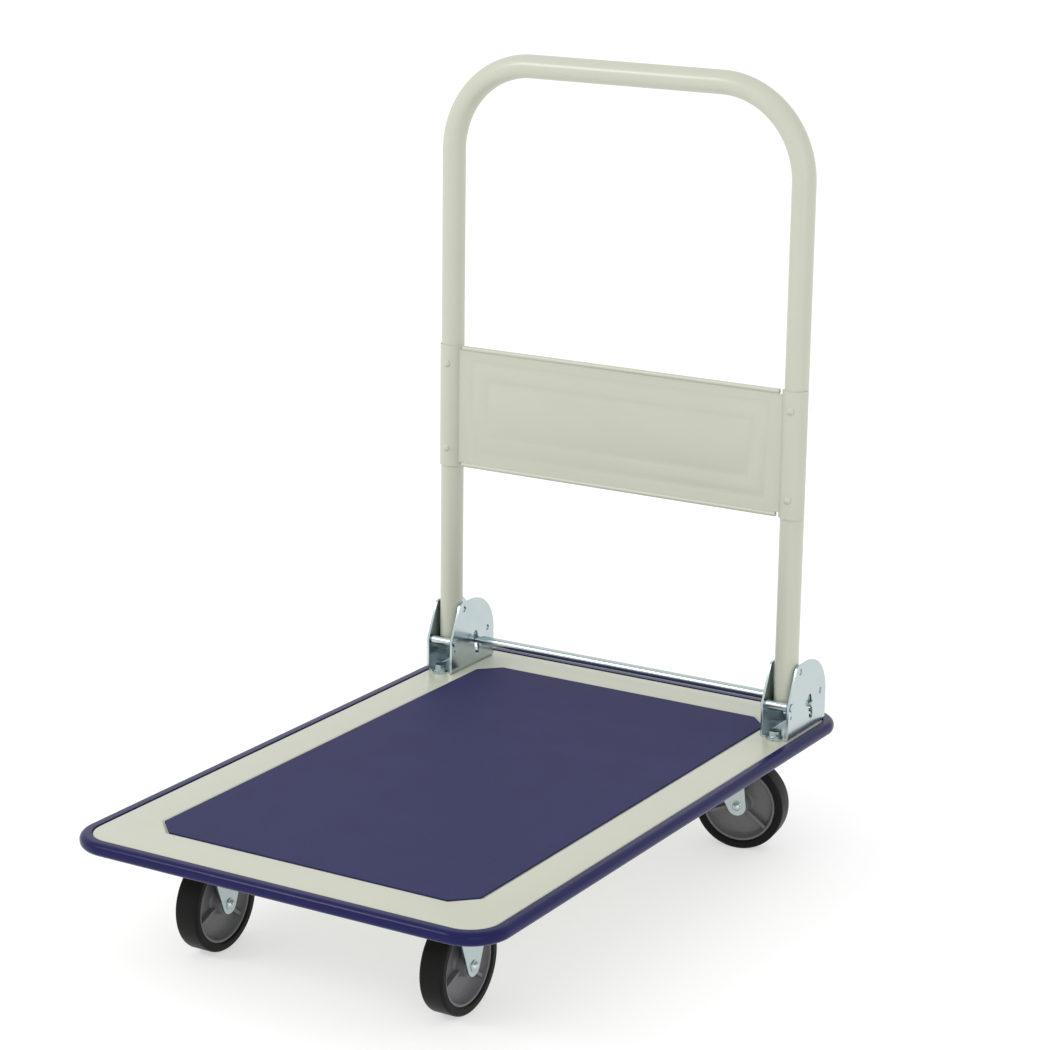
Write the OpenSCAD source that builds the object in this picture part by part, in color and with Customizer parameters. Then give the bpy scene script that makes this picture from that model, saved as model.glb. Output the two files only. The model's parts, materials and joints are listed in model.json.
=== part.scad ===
// Folding platform cart: a pressed steel deck on four casters, two fixed and two swivelling,
// with a bent tube handle that folds forward onto the deck when the release rod is pressed.
// Millimetres. +X is to the right, +Y towards the handle, +Z up.
// The origin is on the floor under the middle of the deck.

/* [Deck] */
// Width of the deck pan without its bumper
deck_w = 458; // [380:2:560]
// Length of the deck pan without its bumper
deck_l = 728; // [600:2:900]
// Corner radius of the deck pan
deck_r = 32; // [20:1:40]
// Thickness of the deck sheet
sheet_t = 1.6; // [1:0.1:2.5]
// Depth of the pan's turned-down edge
skirt_h = 13; // [12:1:32]
// Outside radius of the bend at the pan's edge
bend_r = 3; // [2.6:0.1:6]
// Width of bare deck at each side of the mat
mat_side = 47; // [44:1:70]
// Length of bare deck at each end of the mat
mat_end = 53; // [44:1:90]
// Length cut off the mat's corners along each edge
mat_cut = 22; // [8:1:40]
// Thickness of the mat
mat_t = 2; // [1.6:0.1:4]
// Depth of the recess that the mat lies in
recess_d = 1.5; // [1:0.1:3]
// How far the bumper stands out from the pan
bumper_out = 12; // [8:0.5:14]
// Height of the bumper
bumper_h = 13.5; // [12.5:0.5:26]
// Radius of the bumper's outer edges
bumper_r = 6; // [3:0.5:6]
// How far the bumper stands above the deck
bumper_rise = 0.5; // [0:0.5:2]

/* [Stiffeners] */
// Width of the channel of a long rail
rail_w = 34; // [24:1:40]
// Depth of a long rail
rail_h = 20; // [10:1:22]
// Width of the channel of a cross rib
rib_w = 26; // [18:1:40]
// Depth of a cross rib
rib_h = 14; // [8:1:18]
// Sheet thickness of the rails and ribs
rail_t = 1.5; // [1:0.1:2]
// Width of the welding flanges of the rails and ribs
flange_w = 8; // [5:1:10]
// Distance of the cross ribs from the middle of the deck
rib_y = 110; // [60:5:140]

/* [Handle brackets] */
// Distance of the handle tube's axis from the side of the deck
tube_inset = 18; // [17.5:0.5:24]
// Distance of the bracket's rear end from the end of the deck
bracket_inset = 18; // [10:1:30]
// Outer width of a bracket
bracket_w = 33; // [32.5:0.5:35]
// Length of a bracket
bracket_l = 90; // [88:1:110]
// Height of a bracket above the deck
bracket_h = 79; // [76:1:100]
// Sheet thickness of a bracket
bracket_t = 2.5; // [2:0.1:3]
// Height of the upright front edge of a cheek
cheek_edge_h = 38; // [36:1:46]
// How far the sloping edge leans back
cheek_lean = 18; // [12:1:24]
// Radius of the cheek's front shoulder
shoulder_r = 6; // [3:1:9]
// Radius of the cheek's rear corner
rear_r = 45; // [30:1:50]
// Distance of the front bolt from the bracket's front end
bolt_front = 3; // [2:0.5:4]
// Radius of the tongue round the front bolt
tongue_r = 10; // [9.5:0.5:11]
// Distance of the rear bolt from the bracket's front end
bolt_rear = 74; // [70:1:78]
// Thickness of the backing plate under the deck
backing_t = 3; // [2:0.5:5]

/* [Handle] */
// Height of the grip bar's axis above the deck
handle_h = 688; // [560:2:840]
// Outer diameter of the handle tube
tube_d = 25.4; // [22:0.2:26]
// Wall of the handle tube
tube_wall = 1.5; // [1.2:0.1:2.5]
// Radius of the handle's corners at the tube axis
corner_r = 97; // [60:1:130]
// Distance of the tube's axis from the bracket's front end
tube_y_off = 25; // [24:0.5:28]
// Distance of the pivot pin from the bracket's front end
pin_y_off = 7; // [6.5:0.5:8]
// Height of the pivot pin above the deck
pin_h = 36; // [32:1:40]
// Diameter of the pivot pin
pin_d = 7; // [5:0.5:7]
// Outer diameter of the foot's pivot eye
eye_d = 10; // [9.5:0.1:11]
// Height of the cross panel's lower edge above the deck
panel_low = 239; // [180:1:300]
// Height of the cross panel's upper edge above the deck
panel_high = 376.5; // [320:0.5:440]
// Sheet thickness of the cross panel
panel_t = 1.2; // [0.8:0.1:1.6]
// Distance from the tube's axis forward to the panel's face
panel_front = 6.5; // [4:0.5:9]
// Diameter of the panel's rolled edges
hem_d = 5.2; // [4:0.2:7]
// Distance of the rivets from the panel's edges
rivet_in = 21; // [14:1:30]

/* [Release rod] */
// Distance of the rod from the bracket's front end
rod_y_off = 52; // [51:0.5:55]
// Height of the rod above the deck
rod_h = 29; // [26:1:31]
// Diameter of the rod
rod_d = 8; // [6:0.5:9]
// Outer diameter of the sleeve on the rod
sleeve_d = 10.5; // [9.8:0.1:14]
// Distance from the sleeve's end to the bracket
sleeve_gap = 8.5; // [4:0.5:20]
// Angle between the slots and the upright
slot_lean = 12; // [0:1:15]
// Length of slot above the middle of the rod
slot_up = 11; // [6:0.5:12]
// Length of slot below the middle of the rod
slot_down = 18.5; // [16:0.5:20]

/* [Casters] */
// Diameter of the wheels
wheel_d = 100; // [80:1:125]
// Width of the tyres
tyre_w = 26; // [20:1:28]
// Radial thickness of the tyres
tyre_t = 9; // [6:1:14]
// Radius of the tyre's shoulders
tyre_r = 3; // [1:0.5:5]
// Space between a swivel wheel's highest point and its fork
tyre_gap = 16.3; // [14:0.1:30]
// Space between the legs of a fork
fork_gap = 30; // [30:0.5:32]
// Sheet thickness of a fork
fork_t = 2.5; // [2:0.1:3]
// Radius of the round end of a fork leg
leg_r = 10.5; // [9:0.5:14]
// Half the length of a fixed fork at its top
fixed_half = 27; // [20:1:36]
// Height above the axle at which a fixed fork reaches that length
fixed_wide = 42; // [36:1:50]
// How far a swivel wheel trails behind its kingpin
trail = 27; // [20:1:32]
// Distance of all casters from the side of the deck
caster_side = 87.5; // [84:0.5:100]
// Distance of the fixed casters from the front end of the deck
caster_front = 102; // [99.5:0.5:140]
// Distance of the swivel casters from the rear end of the deck
caster_rear = 97; // [94.5:0.5:140]
// Width of a caster's top plate
plate_w = 64; // [60:1:70]
// Length of a caster's top plate
plate_l = 92; // [90:1:100]
// Thickness of a caster's top plate
plate_t = 3; // [2:0.5:4]
// Thickness of the doubler pad over a caster
pad_t = 2.5; // [2:0.5:5]
// Distance between a plate's studs across the cart
stud_x = 46; // [44:1:50]
// Distance between a plate's studs along the cart
stud_y = 74; // [72:1:80]
// Diameter of the bearing balls
ball_d = 5; // [4:0.5:6]
// Radius of the ring of bearing balls
race_r = 19; // [16:0.5:24]
// Number of bearing balls in a swivel
ball_count = 18; // [12:1:18]
// Turn of the right swivel caster; 0 trails straight back
turn_right = -82; // [-180:1:180]
// Turn of the left swivel caster; 0 trails straight back
turn_left = -68; // [-180:1:180]
// Number of ribs on each face of a hub
hub_ribs = 3; // [3:1:6]

/* [Fits] */
// Radial clearance of a pin or an axle in its bore
run_gap = 0.05; // [0.02:0.01:0.1]
// Radial clearance of a bolt or a rivet in its hole
bolt_gap = 0.2; // [0.1:0.05:0.5]
// Space between parts that move past each other
side_gap = 0.3; // [0.2:0.05:0.5]
// Space between the mat and the wall of its recess
mat_gap = 1; // [0.5:0.1:2]

/* [Hidden] */
$fn = 72;
eps = 1; // length by which a cut runs past the face it opens

// Fastener sizes
m8_d = 8;
m8_flats = 13;
m8_head_h = 5.3;
m8_nut_h = 6.5;
m8_washer_d = 17;
m8_washer_t = 1.6;
m10_d = 10;
m10_flats = 16;
m10_nut_h = 8;
thread_end = 2; // thread that shows past a nut
axle_head_h = 4.5;
axle_flats = 12;
rivet_d = 4.8;
rivet_head_d = 8.5;
rivet_head_h = 2;
rivet_grip = 4; // length of a rivet inside the tube
clip_d = 12;
clip_t = 1.2;

// Heights, from the floor up
wheel_r = wheel_d / 2;
race_h = ball_d + 2 * side_gap;
crown_low = wheel_d + tyre_gap;
crown_top = crown_low + fork_t;
plate_low = crown_top + race_h;
plate_top = plate_low + plate_t;
under_recess = plate_top + pad_t;
recess_floor = under_recess + sheet_t;
deck_top = recess_floor + recess_d;
under_deck = deck_top - sheet_t;

// Deck
mat_w = deck_w - 2 * mat_side;
mat_l = deck_l - 2 * mat_end;
bumper_mid = deck_top + bumper_rise - bumper_h / 2;
bumper_gap = 0.15;

// Casters
caster_x = deck_w / 2 - caster_side;
front_y = -(deck_l / 2 - caster_front);
rear_y = deck_l / 2 - caster_rear;
fork_w = fork_gap + 2 * fork_t;
swivel_back = -22; // front end of a swivel fork's leg at its crown
swivel_end = 30; // rear end of a swivel fork's leg at its crown
crown_r = 28;
king_end = crown_low - side_gap - m10_nut_h - thread_end;
spacer_d = 12;
boss_d = 23;
rim_t = 2.5;
rim_w = tyre_w - 4;
web_t = 5;
rib_t = 4;
rib_axial = rim_w - 5;
rib_start = -38;

// Rails and ribs
rail_x = (caster_x - plate_w / 2) / 2;
rail_l = mat_l - 20;
rib_outer = mat_w / 2;

// Brackets, handle and release rod
tube_x = deck_w / 2 - tube_inset;
bracket_y = deck_l / 2 - bracket_inset - bracket_l;
bracket_bend = bracket_t + 1;
tube_y = bracket_y + tube_y_off;
pin_y = bracket_y + pin_y_off;
pin_z = deck_top + pin_h;
pin_head_d = pin_d + 2.5;
pin_head_t = 1.5;
rod_y = bracket_y + rod_y_off;
rod_z = deck_top + rod_h;
rod_past = 3.5; // length of rod that stands out of the outer cheek
tube_r = tube_d / 2;
bar_z = deck_top + handle_h;
foot_w = bracket_w - 2 * bracket_t - 4;
foot_low = 8; // depth of the foot below the pivot
foot_tail = 54; // length of the foot behind the pivot
foot_tail_h = 8; // height of the tail above the pivot
spigot_l = 32;
slot_w = rod_d + 2 * side_gap;
wrap_gap = 0.1;
wrap_in = tube_r + wrap_gap;
wrap_out = wrap_in + panel_t;
web_half = tube_x - sqrt(pow((wrap_in + wrap_out) / 2, 2) - pow(panel_front - panel_t / 2, 2));
hem_short = 4; // how far a rolled edge stops short of the sheet's end
spring_r = 6.2;
spring_wire = 1.6;
spring_turns = 6;
spring_steps = 12; // rings of points in each turn

steel = "#c3d2d6";
cream = "#d7d9c8";
navy = "#1e1c5f";

// ---- shapes used more than once ----

// Point where the line from p touches a circle of radius r round the origin, on p's right (+1)
// or left (-1) side
function touch(p, r, side) =
    let (a = atan2(p[1], p[0]) - side * acos(r / norm(p))) [r * cos(a), r * sin(a)];

// A piece on the left and on the right side of the cart, mirrored
module both_sides() {
    children();
    mirror([1, 0, 0]) children();
}

// An outline in (y, z) drawn out along X to a width of w, its middle at x = 0
module side_plate(w) {
    rotate([90, 0, 90]) linear_extrude(height = w, center = true) children();
}

// A cylinder along X whose middle is at x = 0
module x_rod(d, l, sides = $fn) {
    rotate([0, 90, 0]) cylinder(h = l, d = d, center = true, $fn = sides);
}

// A profile, x outward from a w by l outline with corner radius r and y up, led round it
module edge_sweep(w, l, r) {
    for (turn = [0, 180]) rotate(turn) {
        translate([w / 2, 0, 0]) rotate([90, 0, 0])
            linear_extrude(height = l - 2 * r, center = true) children();
        translate([w / 2 - r, l / 2 - r, 0]) rotate_extrude(angle = 90)
            translate([r, 0]) children();
    }
    for (turn = [90, 270]) rotate(turn) {
        translate([l / 2, 0, 0]) rotate([90, 0, 0])
            linear_extrude(height = w - 2 * r, center = true) children();
        translate([l / 2 - r, w / 2 - r, 0]) rotate_extrude(angle = 90)
            translate([r, 0]) children();
    }
}

// The mat's outline, grown by an even margin
module mat_outline(grow = 0) {
    x = mat_w / 2 + grow;
    y = mat_l / 2 + grow;
    c = mat_cut + grow * (2 - sqrt(2));
    polygon([[x - c, y], [x, y - c], [x, c - y], [x - c, -y],
             [c - x, -y], [-x, c - y], [-x, y - c], [c - x, y]]);
}

// A top-hat channel along Y with its flanges up at z = 0
module hat(w, h, l) {
    rotate([90, 0, 0]) linear_extrude(height = l, center = true) {
        translate([-w / 2, -h]) square([w, rail_t]);
        for (side = [-1, 1]) {
            translate([side * (w - rail_t) / 2 - rail_t / 2, -h]) square([rail_t, h]);
            translate([side * (w / 2 + flange_w / 2 - rail_t / 2) - flange_w / 2, -rail_t])
                square([flange_w, rail_t]);
        }
    }
}

// A nut, or a bolt's head, from z = 0 up
module hex(flats, h, bore = 0) {
    difference() {
        cylinder(h = h, d = flats / cos(30), $fn = 6);
        if (bore > 0) translate([0, 0, -eps]) cylinder(h = h + 2 * eps, d = bore);
    }
}

// Places of the four casters' top plates
module at_plates(front = true, rear = true) {
    both_sides() {
        if (front) translate([caster_x, front_y, 0]) children();
        if (rear) translate([caster_x, rear_y, 0]) children();
    }
}

// Places of a plate's four studs
module at_studs() {
    for (x = [-1, 1], y = [-1, 1]) translate([x * stud_x / 2, y * stud_y / 2, 0]) children();
}

// Places of the bolts of both brackets
module at_bracket_bolts() {
    both_sides() for (off = [bolt_front, bolt_rear])
        translate([tube_x, bracket_y + off, 0]) children();
}

// Frame of one swivel caster: its kingpin on the Z axis, trailing towards +Y
module at_swivel(side) {
    translate([side * caster_x, rear_y, 0]) rotate(side > 0 ? turn_right : turn_left) children();
}

// Frame of one wheel: its axle along X, at axle height
module at_wheel(axle_place, side) {
    if (axle_place == "front") translate([side * caster_x, front_y, wheel_r]) children();
    else at_swivel(side) translate([0, trail, wheel_r]) children();
}

// ---- deck ----

// Section through the pan's edge: top sheet, bend and turned-down edge
module pan_edge() {
    translate([-deck_r, -sheet_t]) square([deck_r - bend_r, sheet_t]);
    translate([-sheet_t, -skirt_h]) square([sheet_t, skirt_h - bend_r]);
    translate([-bend_r, -bend_r]) intersection() {
        difference() {
            circle(r = bend_r);
            circle(r = bend_r - sheet_t);
        }
        square(bend_r);
    }
}

module deck_pan() {
    color(cream) difference() {
        union() {
            translate([0, 0, deck_top]) edge_sweep(deck_w, deck_l, deck_r) pan_edge();
            translate([0, 0, deck_top - sheet_t / 2])
                cube([deck_w - 2 * deck_r, deck_l - 2 * deck_r, sheet_t], center = true);
            translate([0, 0, under_recess]) linear_extrude(height = deck_top - under_recess)
                mat_outline(mat_gap + sheet_t);
        }
        translate([0, 0, recess_floor]) linear_extrude(height = recess_d + eps)
            mat_outline(mat_gap);
        at_bracket_bolts() translate([0, 0, under_deck - eps])
            cylinder(h = sheet_t + 2 * eps, d = m8_d + 2 * bolt_gap);
    }
}

module deck_mat() {
    color(navy) translate([0, 0, recess_floor]) linear_extrude(height = mat_t) mat_outline();
}

// Bumper with round outer edges, against the pan's turned-down edge
module deck_bumper() {
    color(navy) translate([0, 0, bumper_mid])
        edge_sweep(deck_w + 2 * bumper_gap, deck_l + 2 * bumper_gap, deck_r + bumper_gap)
            bumper_section();
}

module bumper_section() {
    flat = bumper_out - bumper_r;
    half = bumper_h / 2;
    translate([0, -half]) square([flat, bumper_h]);
    translate([flat, bumper_r - half]) square([bumper_r, bumper_h - 2 * bumper_r]);
    for (side = [-1, 1]) translate([flat, side * (half - bumper_r)]) intersection() {
        circle(r = bumper_r);
        translate([0, side < 0 ? -bumper_r : 0]) square(bumper_r);
    }
}

module deck_rails() {
    color(cream) both_sides() translate([rail_x, 0, under_recess]) hat(rail_w, rail_h, rail_l);
}

// Cross ribs: one between the rails and one outside each rail, at both rib places
module deck_ribs() {
    inner = rail_x - rail_w / 2 - flange_w - side_gap;
    outer = rail_x + rail_w / 2 + flange_w + side_gap;
    color(cream) for (y = [-rib_y, rib_y]) translate([0, y, under_recess]) {
        rotate(90) hat(rib_w, rib_h, 2 * inner);
        both_sides() translate([(outer + rib_outer) / 2, 0, 0])
            rotate(90) hat(rib_w, rib_h, rib_outer - outer);
    }
}

module caster_pads() {
    color(cream) at_plates() translate([0, 0, plate_top + pad_t / 2])
        cube([plate_w, plate_l, pad_t], center = true);
}

module caster_studs() {
    stud_l = plate_t + m8_nut_h + thread_end;
    color(steel) at_plates() at_studs() translate([0, 0, plate_top - stud_l])
        cylinder(h = stud_l, d = m8_d);
}

module caster_nuts() {
    color(steel) at_plates() at_studs() translate([0, 0, plate_low - m8_nut_h])
        hex(m8_flats, m8_nut_h, m8_d + 2 * run_gap);
}

module bracket_backings() {
    color(steel) both_sides() difference() {
        translate([tube_x, bracket_y + (bolt_front + bolt_rear) / 2, under_deck - backing_t / 2])
            cube([foot_w, bolt_rear - bolt_front + foot_w, backing_t], center = true);
        at_bracket_bolts() translate([0, 0, under_deck - backing_t - eps])
            cylinder(h = backing_t + 2 * eps, d = m8_d + 2 * bolt_gap);
    }
}

// ---- handle brackets ----

// A bracket cheek seen from the side, from its front end at y = 0 and the deck at z = 0
module cheek_outline() {
    slope = atan2(bracket_h - cheek_edge_h, cheek_lean);
    // the sloping edge and the top edge touch the shoulder's arc this far from where they meet
    touch_l = shoulder_r / tan((180 - slope) / 2);
    on_slope = [cheek_lean - touch_l * cos(slope), bracket_h - touch_l * sin(slope)];
    on_top = [cheek_lean + touch_l, bracket_h];
    difference() {
        polygon([[0, 0], [0, cheek_edge_h], [cheek_lean, bracket_h], [bracket_l, bracket_h],
                 [bracket_l, 0]]);
        difference() {
            polygon([on_slope, [cheek_lean - touch_l, bracket_h + eps],
                     [on_top[0], bracket_h + eps], on_top]);
            translate([on_top[0], bracket_h - shoulder_r]) circle(r = shoulder_r);
        }
        translate([bracket_l - rear_r, bracket_h - rear_r]) difference() {
            square(rear_r + eps);
            circle(r = rear_r, $fn = 144);
        }
        translate([rod_y_off, rod_h]) rotate(slot_lean) release_slot();
    }
}

// The slot that the release rod moves in, along Y, with the rod's middle at the origin
module release_slot() {
    up = slot_up - slot_w / 2;
    down = slot_down - slot_w / 2;
    translate([-slot_w / 2, -down]) square([slot_w, up + down]);
    for (y = [up, -down]) translate([0, y]) circle(d = slot_w);
}

// Section of a bracket: a floor and two cheeks, with round bends
module bracket_section() {
    difference() {
        bent_block(bracket_w, bracket_h, bracket_bend);
        translate([0, bracket_t])
            bent_block(bracket_w - 2 * bracket_t, bracket_h, bracket_bend - bracket_t);
    }
}

// A block from y = 0 up whose lower corners are round
module bent_block(w, h, r) {
    translate([-w / 2, r]) square([w, h - r]);
    translate([r - w / 2, 0]) square([w - 2 * r, 2 * r]);
    for (side = [-1, 1]) translate([side * (w / 2 - r), r]) circle(r = r);
}

// A bracket with its middle at x = 0, its front end at y = 0 and the deck at z = 0
module bracket() {
    dents = [[26, 71, 7], [76, 37, 7], [6, 25, 4]]; // y, z and diameter
    dent_d = bracket_t / 2;
    difference() {
        union() {
            intersection() {
                translate([0, bracket_l, 0]) rotate([90, 0, 0])
                    linear_extrude(height = bracket_l) bracket_section();
                side_plate(bracket_w + 2 * eps) cheek_outline();
            }
            translate([0, bolt_front, 0]) cylinder(h = bracket_t, r = tongue_r);
        }
        translate([0, pin_y_off, pin_h]) x_rod(pin_d + 2 * run_gap, bracket_w + 2 * eps);
        for (off = [bolt_front, bolt_rear]) translate([0, off, -eps])
            cylinder(h = bracket_t + 2 * eps, d = m8_d + 2 * bolt_gap);
        for (dent = dents, side = [-1, 1])
            translate([side * (bracket_w + eps - dent_d) / 2, dent[0], dent[1]])
                x_rod(dent[2], dent_d + eps);
    }
}

module bracket_left() {
    color(steel) translate([-tube_x, bracket_y, deck_top]) bracket();
}

module bracket_right() {
    color(steel) translate([tube_x, bracket_y, deck_top]) bracket();
}

module bracket_bolts() {
    washer_top = deck_top + bracket_t + m8_washer_t;
    bolt_end = under_deck - backing_t - m8_nut_h - thread_end;
    color(steel) at_bracket_bolts() {
        translate([0, 0, washer_top]) hex(m8_flats, m8_head_h);
        translate([0, 0, bolt_end]) cylinder(h = washer_top - bolt_end + eps, d = m8_d);
    }
}

module bracket_washers() {
    color(steel) at_bracket_bolts() translate([0, 0, deck_top + bracket_t]) difference() {
        cylinder(h = m8_washer_t, d = m8_washer_d);
        translate([0, 0, -eps]) cylinder(h = m8_washer_t + 2 * eps, d = m8_d + 2 * bolt_gap);
    }
}

module bracket_nuts() {
    color(steel) at_bracket_bolts() translate([0, 0, under_deck - backing_t - m8_nut_h])
        hex(m8_flats, m8_nut_h, m8_d + 2 * run_gap);
}

module pivot_pins() {
    color(steel) both_sides() translate([tube_x, pin_y, pin_z]) {
        x_rod(pin_d, bracket_w + pin_head_t);
        for (side = [-1, 1]) translate([side * (bracket_w + pin_head_t) / 2, 0, 0])
            x_rod(pin_head_d, pin_head_t);
    }
}

// ---- handle ----

module tube_ring() {
    difference() {
        circle(r = tube_r);
        circle(r = tube_r - tube_wall);
    }
}

module handle_tube() {
    leg_l = bar_z - corner_r - pin_z;
    color(cream) difference() {
        translate([0, tube_y, 0]) {
            both_sides() {
                translate([tube_x, 0, pin_z]) linear_extrude(height = leg_l) tube_ring();
                translate([tube_x - corner_r, 0, bar_z - corner_r]) rotate([90, 0, 0])
                    rotate_extrude(angle = 90) translate([corner_r, 0]) tube_ring();
            }
            translate([0, 0, bar_z]) rotate([0, 90, 0])
                linear_extrude(height = 2 * (tube_x - corner_r), center = true) tube_ring();
        }
        at_rivets() cylinder(h = tube_r, d = rivet_d + 2 * bolt_gap);
    }
}

// Places of the panel's rivets: on the tube's axis, with Z pointing forward out of the tube
module at_rivets() {
    both_sides() for (z = [panel_low + rivet_in, panel_high - rivet_in])
        translate([tube_x, tube_y, deck_top + z]) rotate([90, 0, 0]) children();
}

module handle_panel() {
    low = deck_top + panel_low;
    high = deck_top + panel_high;
    face = tube_y - panel_front;
    color(cream) difference() {
        union() {
            // the sheet and its raised frames
            panel_block(web_half, low + hem_d, high - hem_d, face, panel_t);
            panel_block(web_half - hem_short, low + hem_d / 2, high - hem_d / 2, face, panel_t);
            for (inset = [16, 34]) panel_frame(inset, low, high, face);
            // rolled edges
            for (z = [low + hem_d / 2, high - hem_d / 2])
                translate([0, face + panel_t / 2, z]) x_rod(hem_d, 2 * (web_half - hem_short));
            // the ends, wrapped round the front of the tube
            both_sides() translate([tube_x, tube_y, low]) linear_extrude(height = high - low)
                difference() {
                    circle(r = wrap_out);
                    circle(r = wrap_in);
                    translate([-wrap_out - eps, 0]) square(2 * (wrap_out + eps));
                }
        }
        at_rivets() cylinder(h = wrap_out + eps, d = rivet_d + 2 * bolt_gap);
    }
}

// A block of the panel from z = low to high, as wide as half on each side, its face at y = face
module panel_block(half, low, high, face, thick) {
    translate([-half, face, low]) cube([2 * half, thick, high - low]);
}

// A low raised frame on the panel's face, an even distance in from the panel's edges
module panel_frame(inset, low, high, face) {
    raise = 0.6;
    band = 3;
    half = web_half - inset;
    difference() {
        panel_block(half, low + inset, high - inset, face - raise, panel_t);
        panel_block(half - band, low + inset + band, high - inset - band, face - raise - eps,
                    raise + eps);
    }
}

module panel_rivets() {
    color(cream) at_rivets() {
        translate([0, 0, tube_r - rivet_grip]) cylinder(h = rivet_grip + panel_t, d = rivet_d);
        translate([0, 0, wrap_out]) cylinder(h = rivet_head_h, d1 = rivet_head_d, d2 = rivet_d);
    }
}

// A foot, with the pivot at the origin and the tube's axis above its middle
module handle_foot() {
    axis_y = tube_y_off - pin_y_off;
    rod = [rod_y_off - pin_y_off, rod_h - pin_h];
    notch_r = rod_d / 2 + side_gap + 0.1;
    reach = norm(rod);
    difference() {
        union() {
            x_rod(eye_d, foot_w);
            side_plate(foot_w) difference() {
                union() {
                    translate([0, -foot_low]) square([foot_tail - 12, foot_low]);
                    translate([axis_y + tube_r + 1, -foot_low])
                        square([foot_tail - axis_y - tube_r - 1, foot_low + foot_tail_h]);
                }
                // room for the rod, along the arc on which the tail lifts off it
                intersection() {
                    difference() {
                        circle(r = reach + notch_r, $fn = 180);
                        circle(r = reach - notch_r, $fn = 180);
                    }
                    translate([0, rod[1] - foot_tail]) square(foot_tail + eps);
                }
                translate(rod) circle(r = notch_r);
                // room in front, under the pivot
                translate([-eps, -foot_low - eps]) square([eye_d + eps, foot_low + eps - 3]);
            }
            translate([0, axis_y, -eps])
                cylinder(h = spigot_l + eps, r = tube_r - tube_wall - wrap_gap);
        }
        x_rod(pin_d + 2 * run_gap, foot_w + 2 * eps);
    }
}

module handle_foot_left() {
    color(steel) translate([-tube_x, pin_y, pin_z]) handle_foot();
}

module handle_foot_right() {
    color(steel) translate([tube_x, pin_y, pin_z]) handle_foot();
}

// ---- release rod ----

module release_rod() {
    color(steel) translate([0, rod_y, rod_z]) x_rod(rod_d, 2 * tube_x + bracket_w + 2 * rod_past);
}

module release_sleeve() {
    sleeve_l = 2 * tube_x - bracket_w - 2 * sleeve_gap;
    color(steel) translate([0, rod_y, rod_z]) difference() {
        x_rod(sleeve_d, sleeve_l);
        x_rod(rod_d + 2 * run_gap, sleeve_l + 2 * eps);
    }
}

// Retaining clips on the rod, just inside the inner cheeks
module rod_clips() {
    clip_x = tube_x - bracket_w / 2 + bracket_t + side_gap + clip_t / 2;
    color(steel) both_sides() translate([clip_x, rod_y, rod_z]) difference() {
        x_rod(clip_d, clip_t);
        x_rod(rod_d + 2 * run_gap, clip_t + 2 * eps);
    }
}

// Compression springs between the bracket floors and the rod
module rod_springs() {
    low = deck_top + bracket_t + side_gap + spring_wire / 2;
    high = rod_z - rod_d / 2 - side_gap - spring_wire / 2;
    color(steel) both_sides() translate([tube_x, rod_y, low]) spring(high - low);
}

// A coil spring of round wire, its wire's middle from z = 0 to z = h
module spring(h) {
    sides = 6;
    rings = spring_turns * spring_steps;
    slope = atan(h / (spring_turns * 2 * PI * spring_r));
    points = [for (i = [0 : rings], k = [0 : sides - 1])
        let (a = 360 * i / spring_steps, b = 360 * k / sides,
             out = spring_r + spring_wire / 2 * cos(b),
             up = spring_wire / 2 * sin(b))
        [out * cos(a) + up * sin(slope) * sin(a), out * sin(a) - up * sin(slope) * cos(a),
         h * i / rings + up * cos(slope)]];
    skin = [for (i = [0 : rings - 1], k = [0 : sides - 1])
        let (n = (k + 1) % sides)
        each [[i * sides + k, (i + 1) * sides + k, i * sides + n],
              [i * sides + n, (i + 1) * sides + k, (i + 1) * sides + n]]];
    first = [for (k = [0 : sides - 1]) k];
    last = [for (k = [sides - 1 : -1 : 0]) rings * sides + k];
    polyhedron(points, concat(skin, [first, last]));
}

// ---- casters ----

// A caster's top plate, with holes for its studs
module top_plate() {
    translate([0, 0, plate_low]) difference() {
        translate([0, 0, plate_t / 2]) cube([plate_w, plate_l, plate_t], center = true);
        at_studs() translate([0, 0, -eps])
            cylinder(h = plate_t + 2 * eps, d = m8_d + 2 * bolt_gap);
    }
}

module front_plates() {
    color(steel) at_plates(rear = false) top_plate();
}

module rear_plates() {
    color(steel) difference() {
        at_plates(front = false) top_plate();
        at_plates(front = false) translate([0, 0, plate_low - eps])
            cylinder(h = plate_t + 2 * eps, d = m10_d + 2 * run_gap);
    }
}

// The two legs of a fork round a wheel's axle at the origin; back and end are where a leg's
// edges stand from the height wide up to the height top
module fork_legs(back, end, wide, top) {
    from_back = touch([back, wide], leg_r, -1);
    from_end = touch([end, wide], leg_r, 1);
    for (side = [-1, 1]) translate([side * (fork_gap + fork_t) / 2, 0, 0])
        side_plate(fork_t) difference() {
            union() {
                polygon([[back, top], [back, wide], from_back, [0, 0], from_end, [end, wide],
                         [end, top]]);
                circle(r = leg_r);
            }
            circle(d = m8_d + 2 * run_gap);
        }
}

module front_fork(side) {
    top = plate_low - wheel_r;
    color(steel) at_wheel("front", side) {
        fork_legs(-fixed_half, fixed_half, fixed_wide, top);
        translate([0, 0, top - fork_t / 2])
            cube([fork_w, 2 * fixed_half, fork_t], center = true);
    }
}

module front_fork_left() { front_fork(-1); }

module front_fork_right() { front_fork(1); }

// A swivel fork with its kingpin on the Z axis, trailing towards +Y
module swivel_fork() {
    translate([0, trail, wheel_r])
        fork_legs(swivel_back - trail, swivel_end - trail, crown_low - wheel_r - eps,
                  crown_low - wheel_r);
    translate([0, 0, crown_low]) linear_extrude(height = fork_t) difference() {
        union() {
            circle(r = crown_r);
            translate([-fork_w / 2, swivel_back]) square([fork_w, swivel_end - swivel_back]);
        }
        circle(d = m10_d + 2 * run_gap);
    }
}

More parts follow.
